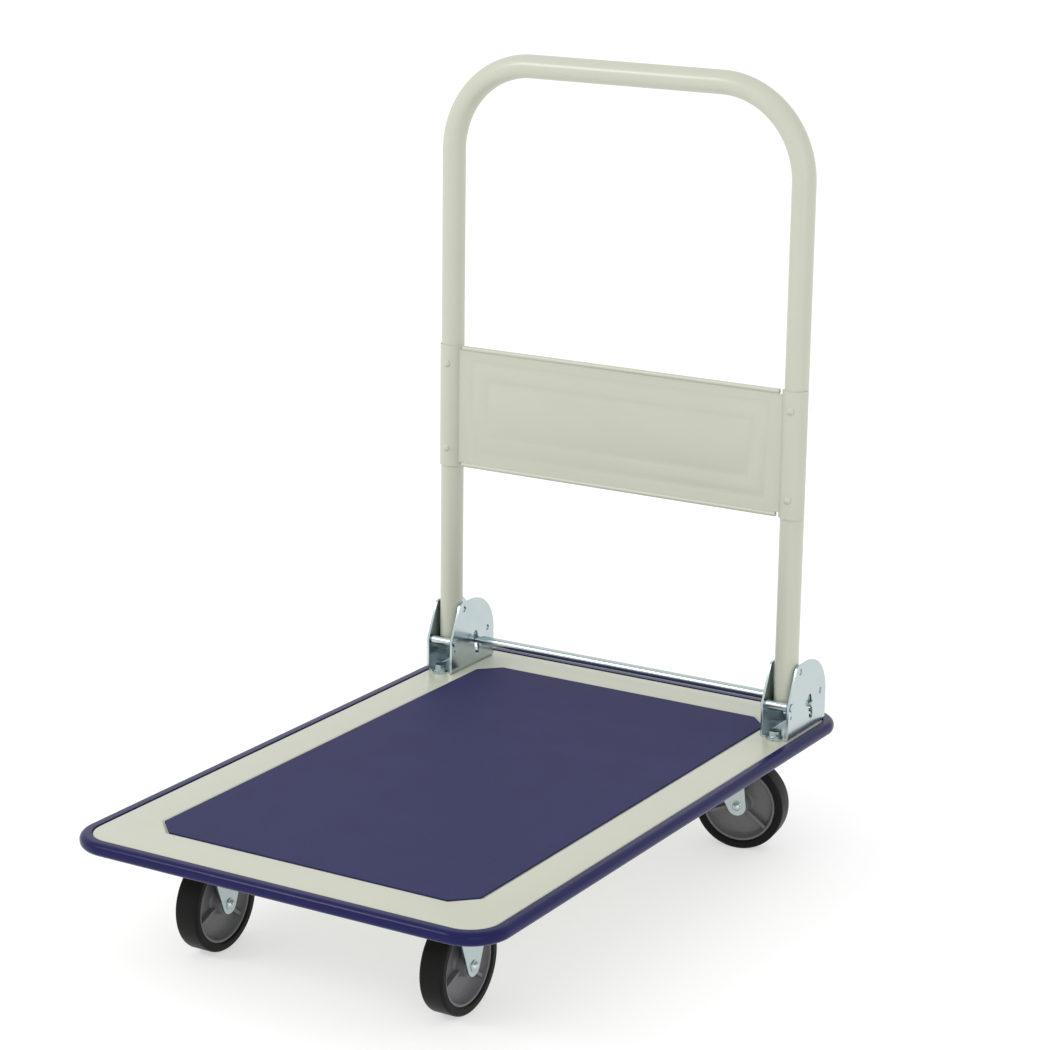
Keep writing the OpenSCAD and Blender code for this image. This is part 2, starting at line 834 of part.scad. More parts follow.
module rear_fork(side) {
    color(steel) at_swivel(side) swivel_fork();
}

module rear_fork_left() { rear_fork(-1); }

module rear_fork_right() { rear_fork(1); }

module rear_balls(side) {
    color(steel) at_swivel(side) for (i = [0 : ball_count - 1])
        rotate(360 * i / ball_count) translate([race_r, 0, crown_top + race_h / 2])
            sphere(d = ball_d, $fn = 24);
}

module rear_balls_left() { rear_balls(-1); }

module rear_balls_right() { rear_balls(1); }

module kingpins() {
    color(steel) at_plates(front = false) translate([0, 0, king_end])
        cylinder(h = plate_top - king_end, d = m10_d);
}

module kingpin_nuts() {
    color(steel) at_plates(front = false) translate([0, 0, crown_low - side_gap - m10_nut_h])
        hex(m10_flats, m10_nut_h, m10_d + 2 * run_gap);
}

// An axle bolt with its head at the right
module axle() {
    tail = fork_w / 2 + m8_nut_h + thread_end;
    translate([-tail, 0, 0]) rotate([0, 90, 0]) cylinder(h = tail + fork_w / 2 + eps, d = m8_d);
    translate([fork_w / 2, 0, 0]) rotate([0, 90, 0]) hex(axle_flats, axle_head_h);
}

module axle_nut() {
    translate([-fork_w / 2, 0, 0]) rotate([0, -90, 0])
        hex(m8_flats, m8_nut_h, m8_d + 2 * run_gap);
}

// The bush on the axle, between the legs, that the hub turns on
module spacer() {
    length = fork_gap - side_gap;
    difference() {
        x_rod(spacer_d, length);
        x_rod(m8_d + 2 * run_gap, length + 2 * eps);
    }
}

module front_axles() {
    color(steel) for (side = [-1, 1]) at_wheel("front", side) axle();
}

module front_axle_nuts() {
    color(steel) for (side = [-1, 1]) at_wheel("front", side) axle_nut();
}

module front_spacers() {
    color(steel) for (side = [-1, 1]) at_wheel("front", side) spacer();
}

module rear_axle_left() { color(steel) at_wheel("rear", -1) axle(); }

module rear_axle_right() { color(steel) at_wheel("rear", 1) axle(); }

module rear_axle_nut_left() { color(steel) at_wheel("rear", -1) axle_nut(); }

module rear_axle_nut_right() { color(steel) at_wheel("rear", 1) axle_nut(); }

module rear_spacer_left() { color(steel) at_wheel("rear", -1) spacer(); }

module rear_spacer_right() { color(steel) at_wheel("rear", 1) spacer(); }

// Turns a section, x outward from the axle and y along it, round the axle on X
module turned() {
    rotate([0, 90, 0]) rotate_extrude() children();
}

// A wheel's hub: rim, web, boss and ribs
module hub() {
    rim_r = wheel_r - tyre_t - run_gap;
    bore_r = spacer_d / 2 + run_gap;
    boss_w = fork_gap - 2 * side_gap;
    color("#6e7276") {
        turned() {
            translate([rim_r - rim_t, -rim_w / 2]) square([rim_t, rim_w]);
            translate([bore_r, -web_t / 2]) square([rim_r - bore_r - rim_t / 2, web_t]);
            translate([bore_r, -boss_w / 2]) square([boss_d / 2 - bore_r, boss_w]);
        }
        for (i = [0 : hub_ribs - 1]) rotate([rib_start + 360 * i / hub_ribs, 0, 0])
            translate([-rib_axial / 2, boss_d / 2 - 1, -rib_t / 2])
                cube([rib_axial, rim_r - rim_t / 2 - boss_d / 2 + 1, rib_t]);
    }
}

module front_hub_left() { at_wheel("front", -1) hub(); }

module front_hub_right() { at_wheel("front", 1) hub(); }

module rear_hub_left() { at_wheel("rear", -1) hub(); }

module rear_hub_right() { at_wheel("rear", 1) hub(); }

// A tyre with round shoulders
module tyre() {
    inner = wheel_r - tyre_t;
    color("#212121") turned() {
        translate([inner, -tyre_w / 2]) square([tyre_t - tyre_r, tyre_w]);
        translate([inner, tyre_r - tyre_w / 2]) square([tyre_t, tyre_w - 2 * tyre_r]);
        for (side = [-1, 1]) translate([wheel_r - tyre_r, side * (tyre_w / 2 - tyre_r)])
            circle(r = tyre_r);
    }
}

module front_tyre_left() { at_wheel("front", -1) tyre(); }

module front_tyre_right() { at_wheel("front", 1) tyre(); }

module rear_tyre_left() { at_wheel("rear", -1) tyre(); }

module rear_tyre_right() { at_wheel("rear", 1) tyre(); }

deck_pan();
deck_mat();
deck_bumper();
deck_rails();
deck_ribs();
caster_pads();
caster_studs();
caster_nuts();
bracket_backings();
bracket_left();
bracket_right();
bracket_bolts();
bracket_washers();
bracket_nuts();
pivot_pins();
handle_tube();
handle_panel();
panel_rivets();
handle_foot_left();
handle_foot_right();
release_rod();
release_sleeve();
rod_clips();
rod_springs();
front_plates();
front_fork_left();
front_fork_right();
front_axles();
front_axle_nuts();
front_spacers();
rear_plates();
kingpins();
kingpin_nuts();
rear_fork_left();
rear_fork_right();
rear_balls_left();
rear_balls_right();
rear_axle_left();
rear_axle_right();
rear_axle_nut_left();
rear_axle_nut_right();
rear_spacer_left();
rear_spacer_right();
front_hub_left();
front_hub_right();
rear_hub_left();
rear_hub_right();
front_tyre_left();
front_tyre_right();
rear_tyre_left();
rear_tyre_right();
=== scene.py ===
"""Looks of a folding platform cart: enamelled steel deck and handle, vinyl mat, and
zinc-plated fittings. Metres, in the frame of the CAD model."""
import json
import math

import bmesh
import bpy
from mathutils import Matrix, Vector

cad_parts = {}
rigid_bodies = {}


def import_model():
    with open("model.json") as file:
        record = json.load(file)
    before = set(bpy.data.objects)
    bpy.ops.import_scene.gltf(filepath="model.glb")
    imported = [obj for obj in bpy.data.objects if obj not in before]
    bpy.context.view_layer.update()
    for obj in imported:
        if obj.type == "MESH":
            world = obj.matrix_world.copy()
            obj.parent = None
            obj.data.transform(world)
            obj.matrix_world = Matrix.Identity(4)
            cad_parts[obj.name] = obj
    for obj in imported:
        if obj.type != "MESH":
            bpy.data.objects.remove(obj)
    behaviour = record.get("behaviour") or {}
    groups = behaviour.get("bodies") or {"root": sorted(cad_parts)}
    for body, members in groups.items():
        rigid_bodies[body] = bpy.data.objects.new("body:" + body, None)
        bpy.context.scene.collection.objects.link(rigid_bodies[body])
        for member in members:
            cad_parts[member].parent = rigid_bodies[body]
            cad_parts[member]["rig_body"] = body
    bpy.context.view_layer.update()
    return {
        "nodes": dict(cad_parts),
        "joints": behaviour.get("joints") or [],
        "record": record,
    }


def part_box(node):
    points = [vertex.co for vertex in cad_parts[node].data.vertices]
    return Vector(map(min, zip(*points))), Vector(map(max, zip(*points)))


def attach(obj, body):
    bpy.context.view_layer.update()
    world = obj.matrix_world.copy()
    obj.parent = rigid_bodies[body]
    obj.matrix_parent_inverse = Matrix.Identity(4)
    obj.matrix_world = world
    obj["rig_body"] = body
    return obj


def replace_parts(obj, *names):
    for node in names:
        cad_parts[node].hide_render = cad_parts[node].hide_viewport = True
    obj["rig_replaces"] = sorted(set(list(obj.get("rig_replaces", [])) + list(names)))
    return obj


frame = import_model()
record = frame["record"]
joints = {joint["name"]: joint for joint in frame["joints"]}

MM = 0.001
SHEET = 1.6 * MM            # deck sheet
BEND = 3 * MM               # bend at the deck's edge
DECK_CORNER = 32 * MM       # corner radius of the deck pan
BUMPER_GAP = 0.15 * MM      # between the pan and the bumper
BUMPER_R = 6 * MM           # round outer edges of the bumper
MAT_CUT = 22 * MM           # corner cut off the mat
MAT_GAP = 1 * MM            # groove round the mat
TUBE_R = 12.7 * MM          # handle tube
TUBE_WALL = 1.5 * MM        # its wall
CORNER_R = 97 * MM          # handle corner, at the tube's axis
PANEL_T = 1.2 * MM          # cross panel sheet
PANEL_FRONT = 6.5 * MM      # from the axes of the legs forward to the panel
PANEL_GAP = 0.1 * MM        # between a leg and the panel's end round it
WHEEL_R = 50 * MM           # tyre tread
BEAD_R = 41 * MM            # tyre's inside
SAME = 0.002 * MM           # points nearer than this are one point
CLOSE = 0.01 * MM           # points nearer than this are in line
X, Y, Z = Vector((1, 0, 0)), Vector((0, 1, 0)), Vector((0, 0, 1))

pan_low, pan_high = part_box("deck_pan")
mat_low, mat_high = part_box("deck_mat")
bumper_low, bumper_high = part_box("deck_bumper")
tube_low, tube_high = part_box("handle_tube")
panel_low, panel_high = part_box("handle_panel")
DECK_TOP = pan_high.z
TUBE_X = tube_high.x - TUBE_R
TUBE_Y = (tube_low.y + tube_high.y) / 2
BAR_Z = tube_high.z - TUBE_R


# ---- materials ----

def srgb(code):
    """A hex colour as linear red, green and blue with full alpha."""
    parts = [int(code[i:i + 2], 16) / 255 for i in (1, 3, 5)]
    return (*[p / 12.92 if p <= 0.04045 else ((p + 0.055) / 1.055) ** 2.4 for p in parts], 1)


def add(tree, kind, inputs=None, **settings):
    """Adds a node; an input given as a socket is linked, and any other value is set."""
    node = tree.nodes.new(kind)
    for name, value in settings.items():
        setattr(node, name, value)
    for name, value in (inputs or {}).items():
        if isinstance(value, bpy.types.NodeSocket):
            tree.links.new(value, node.inputs[name])
        else:
            node.inputs[name].default_value = value
    return node


def material(name):
    """An empty material: its node tree, and the object coordinates in metres."""
    made = bpy.data.materials.new(name)
    made.use_nodes = True
    made.node_tree.nodes.clear()
    place = add(made.node_tree, "ShaderNodeTexCoord").outputs["Object"]
    return made, made.node_tree, place


def finish_with(made, shader):
    """Ends a material with its shader, and returns the material."""
    tree = made.node_tree
    add(tree, "ShaderNodeOutputMaterial", {"Surface": shader.outputs[0]})
    return made


def spread(tree, value, low, high):
    """A 0 to 1 value led to the range low to high."""
    limits = {"Value": value, "To Min": low, "To Max": high}
    return add(tree, "ShaderNodeMapRange", limits).outputs[0]


def two_tones(tree, value, first, second):
    """A colour between two hex colours, as the value goes from 0 to 1."""
    return add(tree, "ShaderNodeMix", {"Factor": value, "A": srgb(first), "B": srgb(second)},
               data_type="RGBA").outputs["Result"]


def noise(tree, place, size, detail=2.0, longer=(1, 1, 1)):
    """Noise whose lumps are size metres across, and that many times longer along each axis."""
    scaled = add(tree, "ShaderNodeMapping",
                 {"Vector": place, "Scale": tuple(1 / (size * times) for times in longer)})
    return add(tree, "ShaderNodeTexNoise",
               {"Vector": scaled.outputs[0], "Scale": 1, "Detail": detail}).outputs[0]


def bump(tree, height, strength, depth):
    """A normal that rises and falls with a 0 to 1 height, by depth metres."""
    return add(tree, "ShaderNodeBump",
               {"Height": height, "Strength": strength, "Distance": depth}).outputs[0]


def cream_enamel():
    """Baked enamel on sheet steel: an even cream with soft gloss and a fine orange-peel skin."""
    made, tree, place = material("cream_enamel")
    clouds = noise(tree, place, 60 * MM, 3)
    peel = noise(tree, place, 1.6 * MM, 1)
    shader = add(tree, "ShaderNodeBsdfPrincipled", {
        "Base Color": two_tones(tree, clouds, "#B9BCAB", "#BFC1B2"),
        "Roughness": spread(tree, clouds, 0.3, 0.38),
        "IOR": 1.5, "Coat Weight": 0.15, "Coat Roughness": 0.15,
        "Normal": bump(tree, peel, 0.12, 0.15 * MM)})
    return finish_with(made, shader)


def navy_vinyl():
    """Embossed vinyl sheet: a dull navy skin with fine cross ribs and a mottled sheen."""
    made, tree, place = material("navy_vinyl")
    # the ribs are coarser than the real emboss, so that they show; at a scale of 1 the wave
    # node draws one each pi / 10 metres
    rib = 4.7373 * MM
    along, across = (add(tree, "ShaderNodeTexWave",
                         {"Vector": place, "Scale": math.pi / 10 / rib, "Distortion": 0.6,
                          "Detail": 1}, bands_direction=way).outputs["Fac"] for way in "XY")
    weave = add(tree, "ShaderNodeMath", {0: along, 1: across}, operation="MULTIPLY").outputs[0]
    grit = noise(tree, place, 3 * MM, 4)
    clouds = noise(tree, place, 45 * MM, 5)
    height = add(tree, "ShaderNodeMath", {0: weave, 1: grit}, operation="ADD").outputs[0]
    shader = add(tree, "ShaderNodeBsdfPrincipled", {
        "Base Color": two_tones(tree, clouds, "#2B2B4F", "#393A60"),
        "Roughness": spread(tree, clouds, 0.52, 0.66),
        "Specular IOR Level": 0.08,
        "Normal": bump(tree, height, 0.35, 0.25 * MM)})
    return finish_with(made, shader)


def navy_rubber():
    """Extruded soft PVC: deep navy, smooth and half-glossy, with faint drawing lines."""
    made, tree, place = material("navy_rubber")
    lines = noise(tree, place, 2 * MM, 2, (12, 12, 1))
    shader = add(tree, "ShaderNodeBsdfPrincipled", {
        "Base Color": two_tones(tree, lines, "#141446", "#18184E"),
        "Roughness": spread(tree, lines, 0.2, 0.3), "Specular IOR Level": 0.16,
        "Normal": bump(tree, lines, 0.1, 0.2 * MM)})
    return finish_with(made, shader)


def zinc_plate():
    """Bright zinc plating with a blue passivate: a mirror dulled by fine rolling lines and a
    faint blue and straw bloom."""
    made, tree, place = material("zinc_plate")
    bloom = noise(tree, place, 18 * MM, 3)
    grain = noise(tree, place, 0.8 * MM, 2, (1, 1, 9))
    shader = add(tree, "ShaderNodeBsdfPrincipled", {
        "Base Color": two_tones(tree, bloom, "#B3C4CA", "#C3CAC8"),
        "Metallic": 1.0, "Roughness": spread(tree, grain, 0.14, 0.26),
        "Normal": bump(tree, grain, 0.05, 0.03 * MM)})
    return finish_with(made, shader)


def bearing_steel():
    """Polished bearing steel with a film of grease: dark and very smooth."""
    made, tree, place = material("bearing_steel")
    film = noise(tree, place, 3 * MM, 2)
    shader = add(tree, "ShaderNodeBsdfPrincipled", {
        "Base Color": two_tones(tree, film, "#9DA0A3", "#C2C4C6"),
        "Metallic": 1.0, "Roughness": spread(tree, film, 0.08, 0.22)})
    return finish_with(made, shader)


def tyre_rubber():
    """Moulded black rubber: nearly black, dull, with a fine grain from the mould."""
    made, tree, place = material("tyre_rubber")
    dust = noise(tree, place, 14 * MM, 4)
    grain = noise(tree, place, 1.1 * MM, 2)
    shader = add(tree, "ShaderNodeBsdfPrincipled", {
        "Base Color": two_tones(tree, dust, "#101010", "#171716"),
        "Roughness": spread(tree, dust, 0.36, 0.5), "Specular IOR Level": 0.11,
        "Normal": bump(tree, grain, 0.2, 0.15 * MM)})
    return finish_with(made, shader)


def grey_nylon():
    """Moulded grey nylon: a slightly mottled mid grey with a satin skin."""
    made, tree, place = material("grey_nylon")
    flow = noise(tree, place, 10 * MM, 3)
    grain = noise(tree, place, 0.9 * MM, 2)
    shader = add(tree, "ShaderNodeBsdfPrincipled", {
        "Base Color": two_tones(tree, flow, "#626265", "#6E6E71"),
        "Roughness": spread(tree, flow, 0.36, 0.48), "Specular IOR Level": 0.35,
        "Normal": bump(tree, grain, 0.15, 0.1 * MM)})
    return finish_with(made, shader)


def light_table():
    """Matt white acrylic, lit from below: shadows on it stay pale, and it has hardly any grain."""
    made, tree, place = material("light_table")
    grain = noise(tree, place, 2 * MM, 2)
    shader = add(tree, "ShaderNodeBsdfPrincipled", {
        "Base Color": two_tones(tree, grain, "#BFBFBF", "#C2C2C2"),
        "Emission Color": (1, 1, 1, 1), "Emission Strength": 0.52,
        "Roughness": 0.9, "Specular IOR Level": 0.1})
    return finish_with(made, shader)


FINISH = {"cream_paint": cream_enamel(), "mat_vinyl": navy_vinyl(), "bumper_rubber": navy_rubber(),
          "zinc": zinc_plate(), "ball_steel": bearing_steel(), "hub_plastic": grey_nylon(),
          "tyre_rubber": tyre_rubber()}
SLOT_OF = {part["node"]: part["material_slot"] for part in record["subparts"]}


# ---- building pieces ----

def piece(name, bm, node, edge=0.0, wall=0.0, crease=32, normals=True):
    """Ends a mesh that stands for a CAD node: it takes the node's body and finish. edge is the
    width that its sharp edges are rounded to, wall the thickness grown inwards, and crease the
    angle in degrees from which an edge is sharp. normals turns its faces outwards."""
    bmesh.ops.remove_doubles(bm, verts=bm.verts, dist=SAME)
    if normals:
        bmesh.ops.recalc_face_normals(bm, faces=bm.faces)
    mesh = bpy.data.meshes.new(name)
    bm.to_mesh(mesh)
    bm.free()
    obj = bpy.data.objects.new(name, mesh)
    bpy.context.scene.collection.objects.link(obj)
    mesh.materials.append(FINISH[SLOT_OF[node]])
    mesh.shade_smooth()
    mesh.set_sharp_from_angle(angle=math.radians(crease))
    if wall:
        shell = obj.modifiers.new("wall", "SOLIDIFY")
        shell.thickness, shell.offset, shell.use_even_offset = wall, -1, True
    if edge:
        bevel = obj.modifiers.new("edge", "BEVEL")
        bevel.width, bevel.segments, bevel.limit_method = edge, 2, "ANGLE"
        bevel.angle_limit = math.radians(crease)
        bevel.harden_normals = True
    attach(obj, frame["nodes"][node]["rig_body"])
    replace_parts(obj, node)
    return obj


def machined(node, edge, crease):
    """A CAD node's own shape with its flat faces made whole and its edges rounded."""
    bm = bmesh.new()
    bm.from_mesh(frame["nodes"][node].data)
    bmesh.ops.remove_doubles(bm, verts=bm.verts, dist=SAME)
    flat = math.radians(0.4)
    bmesh.ops.dissolve_limit(bm, angle_limit=flat, verts=bm.verts, edges=bm.edges)
    return piece(node + "_finished", bm, node, edge=edge, crease=crease)


def arc(bm, start, centre, axis, turn, steps):
    """Adds an arc of edges from the vertex start; its last vertex is returned."""
    made = bmesh.ops.spin(bm, geom=[start], cent=centre, axis=axis, angle=math.radians(turn),
                          steps=steps, use_merge=False)
    return made["geom_last"][0]


def line(bm, start, to):
    """Adds a straight edge from the vertex start to the point to; its end is returned."""
    end = bm.verts.new(to)
    bm.edges.new((start, end))
    return end


def stretch(bm, edges, shift):
    """Draws edges out by shift, and returns the new edges."""
    made = bmesh.ops.extrude_edge_only(bm, edges=edges)["geom"]
    points = [g for g in made if isinstance(g, bmesh.types.BMVert)]
    bmesh.ops.translate(bm, verts=points, vec=shift)
    ends = set(points)
    return [g for g in made if isinstance(g, bmesh.types.BMEdge) and set(g.verts) <= ends]


def swing(bm, edges, centre, axis, turn, steps):
    """Swings edges round an axis, and returns the edges where they stop."""
    verts = list({v for e in edges for v in e.verts})
    made = bmesh.ops.spin(bm, geom=verts + list(edges), cent=centre, axis=axis,
                          angle=math.radians(turn), steps=steps, use_merge=False)
    return [g for g in made["geom_last"] if isinstance(g, bmesh.types.BMEdge)]


def sink(bm, face, width, depth):
    """Insets a face by a width, and moves it along its normal by a depth."""
    face.normal_update()
    bmesh.ops.inset_region(bm, faces=[face], thickness=width, depth=depth,
                           use_boundary=True, use_even_offset=True)


def lead_round(bm, width, length, corner, steps=16):
    """Leads the profile in bm, which starts at the front of the right side, once round a
    width by length outline with round corners."""
    edges = list(bm.edges)
    x, y = width / 2 - corner, length / 2 - corner
    for shift, centre in ((Y * 2 * y, (x, y, 0)), (X * -2 * x, (-x, y, 0)),
                          (Y * -2 * y, (-x, -y, 0)), (X * 2 * x, (x, -y, 0))):
        edges = stretch(bm, edges, shift)
        edges = swing(bm, edges, centre, Z, 90, steps)


def cut_corner_sheet(bm, grow, height):
    """The mat's outline, grown by an even margin, as one face at a height."""
    x, y = mat_high.x + grow, mat_high.y + grow
    cut = MAT_CUT + grow * (2 - math.sqrt(2))
    corners = [(cut - x, y), (-x, y - cut), (-x, cut - y), (cut - x, -y),
               (x - cut, -y), (x, cut - y), (x, y - cut), (x - cut, y)]
    return bm.faces.new([bm.verts.new((px, py, height)) for px, py in corners])


# ---- deck ----

def deck_pan():
    """The pressed pan: turned-down edge, round bend, flat rim and the dished recess."""
    bm = bmesh.new()
    x = pan_high.x
    front = DECK_CORNER - pan_high.y
    rim = 12 * MM  # flat rim that is led round with the edge
    foot = bm.verts.new((x, front, pan_low.z))
    shoulder = line(bm, foot, (x, front, DECK_TOP - BEND))
    top = arc(bm, shoulder, (x - BEND, front, DECK_TOP - BEND), Y, -90, 6)
    line(bm, top, (x - rim, front, DECK_TOP))
    lead_round(bm, 2 * x, 2 * pan_high.y, DECK_CORNER)
    bmesh.ops.remove_doubles(bm, verts=bm.verts, dist=CLOSE)
    # the recess: its side eases down over a short run, and ends level
    steps, depth, run = 6, DECK_TOP - mat_low.z, 2.5 * MM
    floor = cut_corner_sheet(bm, MAT_GAP + run, DECK_TOP)
    eased = [(i / steps) ** 2 * (3 - 2 * i / steps) for i in range(steps + 1)]
    for before, after in zip(eased, eased[1:]):
        sink(bm, floor, run / steps, (before - after) * depth)
    rims = [e for e in bm.edges if e.is_boundary and e.verts[0].co.z > DECK_TOP - CLOSE]
    bmesh.ops.triangle_fill(bm, edges=rims, use_beauty=True, normal=Z)
    piece("deck_pan_pressing", bm, "deck_pan", wall=SHEET, edge=0.3 * MM, crease=40)


def deck_mat():
    """The mat: a thin sheet with softly rounded edges."""
    bm = bmesh.new()
    sheet = cut_corner_sheet(bm, 0, mat_low.z)
    made = bmesh.ops.extrude_face_region(bm, geom=[sheet])["geom"]
    bmesh.ops.translate(bm, verts=[g for g in made if isinstance(g, bmesh.types.BMVert)],
                        vec=Z * (mat_high.z - mat_low.z))
    piece("deck_mat_sheet", bm, "deck_mat", edge=0.5 * MM)


def deck_bumper():
    """The bumper: a strip with a flat back and round outer edges."""
    bm = bmesh.new()
    back = pan_high.x + BUMPER_GAP
    flat = bumper_high.x - BUMPER_R
    half_l = bumper_high.y - (bumper_high.x - back)
    corner = DECK_CORNER + BUMPER_GAP
    front = corner - half_l
    first = bm.verts.new((back, front, bumper_low.z))
    turn = line(bm, first, (flat, front, bumper_low.z))
    turn = arc(bm, turn, (flat, front, bumper_low.z + BUMPER_R), Y, -90, 10)
    turn = line(bm, turn, (bumper_high.x, front, bumper_high.z - BUMPER_R))
    turn = arc(bm, turn, (flat, front, bumper_high.z - BUMPER_R), Y, -90, 10)
    last = line(bm, turn, (back, front, bumper_high.z))
    bm.edges.new((last, first))
    lead_round(bm, 2 * back, 2 * half_l, corner, 20)
    piece("deck_bumper_strip", bm, "deck_bumper", edge=0.4 * MM, crease=50)


# ---- handle ----

def handle_tube():
    """The bent tube: two legs and the grip bar joined by round corners."""
    bm = bmesh.new()
    ring = bmesh.ops.create_circle(bm, segments=48, radius=TUBE_R)
    bmesh.ops.translate(bm, verts=ring["verts"], vec=(-TUBE_X, TUBE_Y, tube_low.z))
    across = TUBE_X - CORNER_R
    edges = stretch(bm, list(bm.edges), Z * (BAR_Z - CORNER_R - tube_low.z))
    edges = swing(bm, edges, (-across, TUBE_Y, BAR_Z - CORNER_R), Y, 90, 28)
    edges = stretch(bm, edges, X * 2 * across)
    edges = swing(bm, edges, (across, TUBE_Y, BAR_Z - CORNER_R), Y, 90, 28)
    stretch(bm, edges, Z * (tube_low.z - BAR_Z + CORNER_R))
    piece("handle_tube_bent", bm, "handle_tube", wall=TUBE_WALL, edge=0.3 * MM, crease=50)


def handle_panel():
    """The cross panel: one sheet with two pressed frames, rolled edges, and its ends wrapped
    round the front of the legs."""
    face = TUBE_Y - PANEL_FRONT
    roll, short, neck = 2.6 * MM, 4 * MM, 0.8 * MM
    middle = Vector((0, face, (panel_low.z + panel_high.z) / 2))
    wrap_r = TUBE_R + PANEL_GAP + PANEL_T
    half = TUBE_X - math.sqrt(wrap_r ** 2 - PANEL_FRONT ** 2)
    high = panel_high.z - middle.z
    bm = bmesh.new()
    # the sheet's outline has a notch at each corner, beside the rolled edge
    outline = [(half, high), (half - neck, high), (half - neck, high - 2 * roll),
               (half - short, high - 2 * roll), (half - short, high - roll)]
    corners = [(x, z) for x, z in outline]
    corners += [(-x, z) for x, z in reversed(outline)]
    corners += [(-x, -z) for x, z in outline]
    corners += [(x, -z) for x, z in reversed(outline)]
    edge = [bm.verts.new(middle + Vector((x, 0, z))) for x, z in corners]
    border = [bm.edges.new(pair) for pair in zip(edge, edge[1:] + edge[:1])]
    # two pressed frames, one inside the other: each slopes up, runs flat and slopes down
    x, z = half - 13 * MM, high - 13 * MM
    inner = [(x, -z), (-x, -z), (-x, z), (x, z)]
    sheet = bm.faces.new([bm.verts.new(middle + Vector((x, 0, z))) for x, z in inner])
    rise, slope, between = 0.8 * MM, 3 * MM, 11 * MM
    frame_steps = [(slope, rise), (slope, 0), (slope, -rise)]
    for width, depth in frame_steps + [(between, 0)] + frame_steps:
        sink(bm, sheet, width, depth)
    rims = [e for e in bm.edges if e.is_boundary and not e.is_wire]
    bmesh.ops.triangle_fill(bm, edges=border + rims, use_beauty=True, normal=-Y)
    # the ends: round the front of each leg to its outer side
    reach = math.degrees(math.pi / 2 + math.acos(PANEL_FRONT / wrap_r))
    for side in (-1, 1):
        ends = [e for e in bm.edges if all(abs(v.co.x - side * half) < CLOSE for v in e.verts)]
        swing(bm, ends, (side * TUBE_X, TUBE_Y, 0), Z, side * reach, 24)
    bmesh.ops.recalc_face_normals(bm, faces=bm.faces)
    if sum(f.normal.y * f.calc_area() for f in bm.faces) > 0:
        bmesh.ops.reverse_faces(bm, faces=bm.faces)
    piece("handle_panel_sheet", bm, "handle_panel", wall=PANEL_T, edge=0.25 * MM, crease=40,
          normals=False)
    # the rolled edges, along the front of the sheet
    bm = bmesh.new()
    for z in (panel_low.z + roll, panel_high.z - roll):
        rod = bmesh.ops.create_cone(bm, cap_ends=True, segments=32, radius1=roll, radius2=roll,
                                    depth=2 * (half - short))["verts"]
        lie_down = Matrix.Rotation(math.pi / 2, 3, "Y")
        bmesh.ops.rotate(bm, verts=rod, cent=(0, 0, 0), matrix=lie_down)
        bmesh.ops.translate(bm, verts=rod, vec=(0, face + PANEL_T / 2, z))
    piece("handle_panel_hems", bm, "handle_panel", edge=0.4 * MM)


def rivets():
    """The panel's rivets: low domed heads on short shanks."""
    bm = bmesh.new()
    low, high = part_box("panel_rivets")
    head_r, head_h = 4.25 * MM, 2 * MM
    for x in (-TUBE_X, TUBE_X):
        for z in (low.z + head_r, high.z - head_r):
            base = Vector((x, low.y + head_h, z))
            tip = bm.verts.new(base - Y * head_h)
            dome_r = (head_r ** 2 + head_h ** 2) / (2 * head_h)
            turn = math.degrees(math.asin(head_r / dome_r))
            rim = arc(bm, tip, base + Y * (dome_r - head_h), Z, turn, 6)
            line(bm, rim, base + Y * (high.y - base.y))
            edges = [e for e in bm.edges if e.is_wire]
            swing(bm, edges, base, Y, 360, 24)
    piece("panel_rivet_heads", bm, "panel_rivets", crease=40)


# ---- wheels ----

def wheel_place(joint):
    """The matrix that takes a wheel drawn round the X axis at the origin to its axle."""
    axis = Vector(joints[joint]["axis"])
    return (Matrix.Translation(joints[joint]["pos_m"])
            @ Matrix.Rotation(math.atan2(axis.y, axis.x), 4, "Z"))


def turned(bm, steps=72):
    """Turns the profile in bm, drawn in the plane of X and Z, round the X axis."""
    bmesh.ops.spin(bm, geom=list(bm.verts) + list(bm.edges), cent=(0, 0, 0), axis=X,
                   angle=math.tau, steps=steps, use_merge=True)


def tyre(end, side):
    """A tyre: flat tread, round shoulders, and beads that slant down to the hub."""
    half, shoulder, slant = 13 * MM, 3 * MM, 1.5 * MM
    bm = bmesh.new()
    bead = bm.verts.new((-half + slant, 0, BEAD_R))
    lip = line(bm, bead, (-half, 0, BEAD_R + slant))
    wall = line(bm, lip, (-half, 0, WHEEL_R - shoulder))
    crown = arc(bm, wall, (-half + shoulder, 0, WHEEL_R - shoulder), Y, 90, 8)
    far = line(bm, crown, (half - shoulder, 0, WHEEL_R))
    wall = arc(bm, far, (half - shoulder, 0, WHEEL_R - shoulder), Y, 90, 8)
    lip = line(bm, wall, (half, 0, BEAD_R + slant))
    last = line(bm, lip, (half - slant, 0, BEAD_R))
    bm.edges.new((last, bead))
    turned(bm, 96)
    bmesh.ops.transform(bm, verts=bm.verts, matrix=wheel_place(f"{end}_spin_{side}"))
    piece(f"{end}_tyre_{side}_moulded", bm, f"{end}_tyre_{side}", crease=42)


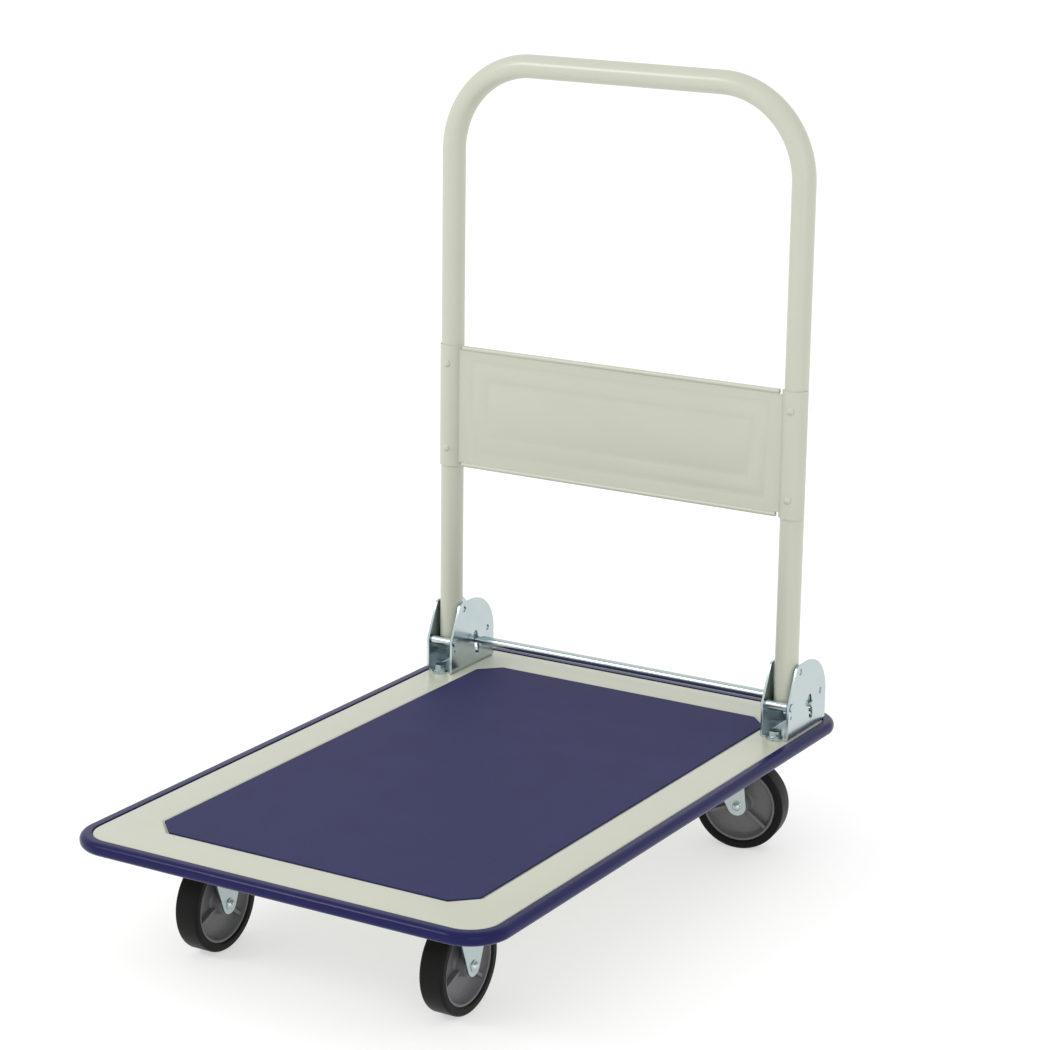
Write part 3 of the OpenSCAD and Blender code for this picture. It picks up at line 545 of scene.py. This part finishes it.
def hub(end, side):
    """A hub: rim, web with coved ends, boss with its bore, and ribs on both faces."""
    rim_r, rim_in, half = BEAD_R - 0.05 * MM, 38.3 * MM, 11 * MM
    web, boss_r, bore_r, boss_half = 2.5 * MM, 11.5 * MM, 6.05 * MM, 14.7 * MM
    rib_w, rib_t, rib_sunk, rib_start = 17 * MM, 3.8 * MM, 0.5 * MM, -38
    bm = bmesh.new()
    start = bm.verts.new((-half, 0, rim_r))
    point = line(bm, start, (-half, 0, rim_in))
    # one face from rim to bore, and then the same points back on the other face
    face = [(web + 3 * MM, rim_in - 1 * MM), (web, rim_in - 4 * MM), (web, boss_r + 3 * MM),
            (web + 2 * MM, boss_r + 0.8 * MM), (boss_half, boss_r), (boss_half, bore_r)]
    for x, z in [(-x, z) for x, z in face] + face[::-1] + [(half, rim_in), (half, rim_r)]:
        point = line(bm, point, (x, 0, z))
    bm.edges.new((point, start))
    turned(bm)
    for i in range(3):
        rib = bmesh.ops.create_cube(bm, size=1)["verts"]
        rib_l = rim_in - boss_r + 2 * rib_sunk
        bmesh.ops.scale(bm, verts=rib, vec=(rib_w, rib_l, rib_t))
        bmesh.ops.translate(bm, verts=rib, vec=(0, boss_r + rib_l / 2 - rib_sunk, 0))
        bmesh.ops.rotate(bm, verts=rib, cent=(0, 0, 0),
                         matrix=Matrix.Rotation(math.radians(rib_start + 120 * i), 3, "X"))
    bmesh.ops.transform(bm, verts=bm.verts, matrix=wheel_place(f"{end}_spin_{side}"))
    piece(f"{end}_hub_{side}_moulded", bm, f"{end}_hub_{side}", edge=0.5 * MM, crease=35)


def axle_bolts(node, joint_names):
    """Axle bolts: a domed head on a flange, and a plain shank with a chamfered end."""
    leg, head, flange, flange_r, dome_r = 17.5 * MM, 4.5 * MM, 1 * MM, 6 * MM, 4.8 * MM
    shank_r, tail, chamfer = 4 * MM, 26 * MM, 0.6 * MM
    whole = bmesh.new()
    for joint in joint_names:
        bm = bmesh.new()
        point = bm.verts.new((-tail, 0, 0))
        for x, z in ((-tail, shank_r - chamfer), (chamfer - tail, shank_r), (leg, shank_r),
                     (leg, flange_r), (leg + flange, flange_r), (leg + flange, dome_r)):
            point = line(bm, point, (x, 0, z))
        rise = head - flange
        ball_r = (dome_r ** 2 + rise ** 2) / (2 * rise)
        arc(bm, point, (leg + head - ball_r, 0, 0), Y, math.degrees(math.asin(dome_r / ball_r)), 7)
        turned(bm, 32)
        bmesh.ops.transform(bm, verts=bm.verts, matrix=wheel_place(joint))
        part = bpy.data.meshes.new(joint)
        bm.to_mesh(part)
        bm.free()
        whole.from_mesh(part)
        bpy.data.meshes.remove(part)
    piece(node + "_turned", whole, node, edge=0.2 * MM, crease=35)


# ---- assembly ----

deck_pan()
deck_mat()
deck_bumper()
handle_tube()
handle_panel()
rivets()
for end in ("front", "rear"):
    for side in ("left", "right"):
        tyre(end, side)
        hub(end, side)
axle_bolts("front_axles", ("front_spin_left", "front_spin_right"))
axle_bolts("rear_axle_left", ("rear_spin_left",))
axle_bolts("rear_axle_right", ("rear_spin_right",))

# how wide the edges of the machined pieces are rounded, in mm, where it isn't 0.35
SOFT_EDGE = {"deck_rails": 0.5, "deck_ribs": 0.5, "caster_pads": 0.5, "rod_springs": 0,
             "rear_balls_left": 0, "rear_balls_right": 0, "bracket_left": 0.5, "bracket_right": 0.5}
done = {n for o in bpy.context.scene.objects for n in o.get("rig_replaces", [])}
for node in sorted(set(frame["nodes"]) - done):
    machined(node, edge=SOFT_EDGE.get(node, 0.35) * MM, crease=60 if "spring" in node else 32)


# ---- stage, light and camera ----

def floor():
    """A wide light table under the cart."""
    bm = bmesh.new()
    bmesh.ops.create_grid(bm, x_segments=1, y_segments=1, size=20)
    mesh = bpy.data.meshes.new("studio_floor")
    bm.to_mesh(mesh)
    bm.free()
    obj = bpy.data.objects.new("studio_floor", mesh)
    bpy.context.scene.collection.objects.link(obj)
    mesh.materials.append(light_table())


def softbox(name, place, aim, size, power):
    """A square area light at place, looking at aim."""
    lamp = bpy.data.lights.new(name, "AREA")
    lamp.shape, lamp.size, lamp.energy = "SQUARE", size, power
    obj = bpy.data.objects.new(name, lamp)
    obj.location = place
    obj.rotation_euler = (Vector(place) - Vector(aim)).to_track_quat("Z", "Y").to_euler()
    bpy.context.scene.collection.objects.link(obj)


def daylight():
    """An even white room."""
    world = bpy.data.worlds.new("white_room")
    bpy.context.scene.world = world
    world.use_nodes = True
    world.node_tree.nodes.clear()
    shine = add(world.node_tree, "ShaderNodeBackground", {"Color": (1, 1, 1, 1), "Strength": 1.0})
    add(world.node_tree, "ShaderNodeOutputWorld", {"Surface": shine.outputs[0]})


def camera():
    """The viewing angle: from the right front, a little above, through a long lens."""
    azimuth, elevation, roll = (math.radians(a) for a in (30.785, 15.125, 0.735))
    aim, distance = Vector((0.0131, 0.0653, 0.3828)), 3.0905
    back = Vector((math.sin(azimuth) * math.cos(elevation),
                   -math.cos(azimuth) * math.cos(elevation), math.sin(elevation)))
    right = Z.cross(back).normalized()
    upward = back.cross(right)
    tilt = Matrix.Rotation(roll, 3, back)
    data = bpy.data.cameras.new("camera")
    data.sensor_width, data.lens = 36, 103.6
    obj = bpy.data.objects.new("camera", data)
    turn = Matrix((tilt @ right, tilt @ upward, back)).transposed()
    obj.matrix_world = Matrix.Translation(aim + back * distance) @ turn.to_4x4()
    bpy.context.scene.collection.objects.link(obj)
    bpy.context.scene.camera = obj


floor()
daylight()
softbox("key_light", (-1.7, -2.3, 2.2), (0, 0, 0.2), 0.8, 26)
softbox("fill_light", (2.4, -2.4, 1.0), (0, 0, 0.4), 1.6, 9)
camera()
bpy.context.scene.view_settings.view_transform = "Standard"
